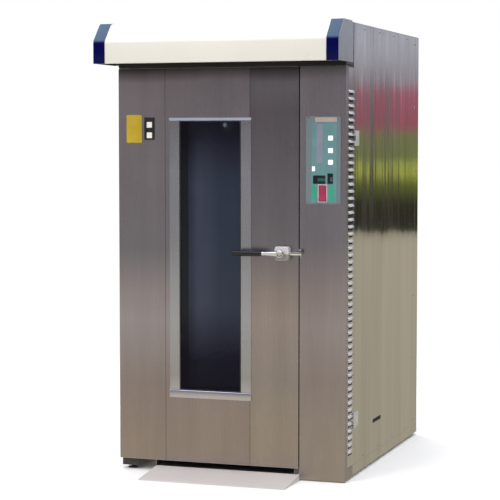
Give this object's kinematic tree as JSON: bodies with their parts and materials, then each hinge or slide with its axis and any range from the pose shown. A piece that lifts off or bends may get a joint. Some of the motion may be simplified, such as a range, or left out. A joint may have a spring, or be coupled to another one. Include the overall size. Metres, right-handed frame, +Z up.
{
  "type": "rotating rack oven",
  "caption": "Insulated steel cabinet oven with a hinged glazed door, entry ramp, hood, side control column and a wheeled tray rack that hangs from a hook and turns in the hot air.",
  "frame": {"origin": "on the floor, under the middle of the whole oven with its ramp and hood", "axes": "+Z up, +X to the right seen from the front, the door and the ramp face -Y"},
  "size_m": [1.262, 1.77, 2.27],
  "materials": {
    "brushed_steel": "stainless sheet, fine upright grain",
    "dark_steel": "dark machined or primed steel",
    "galvanised": "zinc-coated steel",
    "bright_metal": "polished chrome",
    "mineral_wool": "loose fibre slab",
    "white_paint": "semi-gloss cream white",
    "blue_plastic": "gloss navy blue",
    "dark_glass": "tinted tempered glass",
    "seal_rubber": "matt silicone",
    "wheel_rubber": "heat-resistant resin, matt",
    "black_plastic": "satin black",
    "motor_paint": "blue enamel",
    "lamp_glass": "frosted",
    "white_plastic": "lit white",
    "red_plastic": "translucent red"
  },
  "bodies": {
    "oven": {"base_frame": "dark_steel", "chamber_floor": "brushed_steel", "chamber_left_wall": "brushed_steel", "chamber_rear_wall": "brushed_steel", "chamber_right_wall": "brushed_steel", "chamber_ceiling": "brushed_steel", "air_duct_panel": "brushed_steel", "insulation_jacket": "mineral_wool", "left_side_panel": "brushed_steel", "right_side_panel": "brushed_steel", "rear_panel": "brushed_steel", "roof_panel": "brushed_steel", "door_portal": "brushed_steel", "header_casing": "brushed_steel", "hood_shell": "white_paint", "hood_cap_left": "blue_plastic", "hood_cap_right": "blue_plastic", "ramp": "brushed_steel", "latch_keeper": "bright_metal", "control_column": "brushed_steel", "control_plate": "brushed_steel", "electrics_plate": "galvanised", "door_hinge_lower": "brushed_steel", "door_hinge_upper": "brushed_steel", "cover_hinge_lower": "galvanised", "cover_hinge_upper": "galvanised", "bearing_bridge": "dark_steel", "gearmotor": "motor_paint", "fan_motor": "motor_paint", "heater_bank": "galvanised", "chamber_lamp": "lamp_glass"},
    "door": {"door_skin_left": "brushed_steel", "door_skin_centre": "brushed_steel", "door_skin_right": "brushed_steel", "door_liner": "brushed_steel", "door_insulation": "mineral_wool", "door_gasket": "seal_rubber", "window_trim": "brushed_steel", "door_glass_outer": "dark_glass", "door_glass_inner": "dark_glass", "latch_housing": "bright_metal"},
    "lever": {"lever_arm": "bright_metal", "lever_grip": "black_plastic"},
    "rack": {"hook_shaft": "dark_steel", "drive_gear": "dark_steel", "rack_top": "brushed_steel", "rack_left": "brushed_steel", "rack_right": "brushed_steel", "rack_base": "brushed_steel"},
    "wheel_front_left": {"caster_wheel_front_left": "wheel_rubber"},
    "wheel_front_right": {"caster_wheel_front_right": "wheel_rubber"},
    "wheel_rear_left": {"caster_wheel_rear_left": "wheel_rubber"},
    "wheel_rear_right": {"caster_wheel_rear_right": "wheel_rubber"},
    "cover": {"service_cover": "brushed_steel"},
    "pinion": {"drive_pinion": "dark_steel"},
    "fan": {"fan_impeller": "galvanised"},
    "button_1": {"push_button_1": "white_plastic"},
    "button_2": {"push_button_2": "white_plastic"},
    "button_3": {"push_button_3": "white_plastic"},
    "switch": {"main_switch": "red_plastic"}
  },
  "joints": [
    {"name": "door_swing", "type": "hinge", "parent": "oven", "child": "door", "pos_m": [-0.611, -0.494, 1.055], "axis": [0, 0, -1], "range_deg": [0, 115]},
    {"name": "lever_turn", "type": "hinge", "parent": "door", "child": "lever", "pos_m": [0.282, -0.695, 1.131], "axis": [0, 1, 0], "range_deg": [0, 40]},
    {"name": "rack_turn", "type": "hinge", "parent": "oven", "child": "rack", "pos_m": [-0.066, -0.0175, 1.885], "axis": [0, 0, 1], "continuous": true},
    {"name": "pinion_turn", "type": "hinge", "parent": "oven", "child": "pinion", "pos_m": [0.084, -0.0175, 2.213], "axis": [0, 0, 1], "continuous": true},
    {"name": "fan_turn", "type": "hinge", "parent": "oven", "child": "fan", "pos_m": [-0.066, 0.597, 1.935], "axis": [0, 0, 1], "continuous": true},
    {"name": "cover_swing", "type": "hinge", "parent": "oven", "child": "cover", "pos_m": [0.606, -0.492, 1.056], "axis": [0, 0, 1], "range_deg": [0, 110]},
    {"name": "button_1_press", "type": "slide", "parent": "oven", "child": "button_1", "axis": [0, 1, 0], "range_m": [0, 0.0025], "stiffness_N_per_m": 400},
    {"name": "button_2_press", "type": "slide", "parent": "oven", "child": "button_2", "axis": [0, 1, 0], "range_m": [0, 0.0025], "stiffness_N_per_m": 400},
    {"name": "button_3_press", "type": "slide", "parent": "oven", "child": "button_3", "axis": [0, 1, 0], "range_m": [0, 0.0025], "stiffness_N_per_m": 400},
    {"name": "switch_rock", "type": "hinge", "parent": "oven", "child": "switch", "pos_m": [0.484, -0.64, 1.429], "axis": [1, 0, 0], "range_deg": [0, 14]},
    {"name": "wheel_front_left_turn", "type": "hinge", "parent": "rack", "child": "wheel_front_left", "pos_m": [-0.271, -0.2655, 0.092], "axis": [1, 0, 0], "continuous": true},
    {"name": "wheel_front_right_turn", "type": "hinge", "parent": "rack", "child": "wheel_front_right", "pos_m": [0.139, -0.2655, 0.092], "axis": [1, 0, 0], "continuous": true},
    {"name": "wheel_rear_left_turn", "type": "hinge", "parent": "rack", "child": "wheel_rear_left", "pos_m": [-0.271, 0.2305, 0.092], "axis": [1, 0, 0], "continuous": true},
    {"name": "wheel_rear_right_turn", "type": "hinge", "parent": "rack", "child": "wheel_rear_right", "pos_m": [0.139, 0.2305, 0.092], "axis": [1, 0, 0], "continuous": true}
  ],
  "couplings": [
    {"joint": "pinion_turn", "follows": "rack_turn", "ratio": -4}
  ]
}
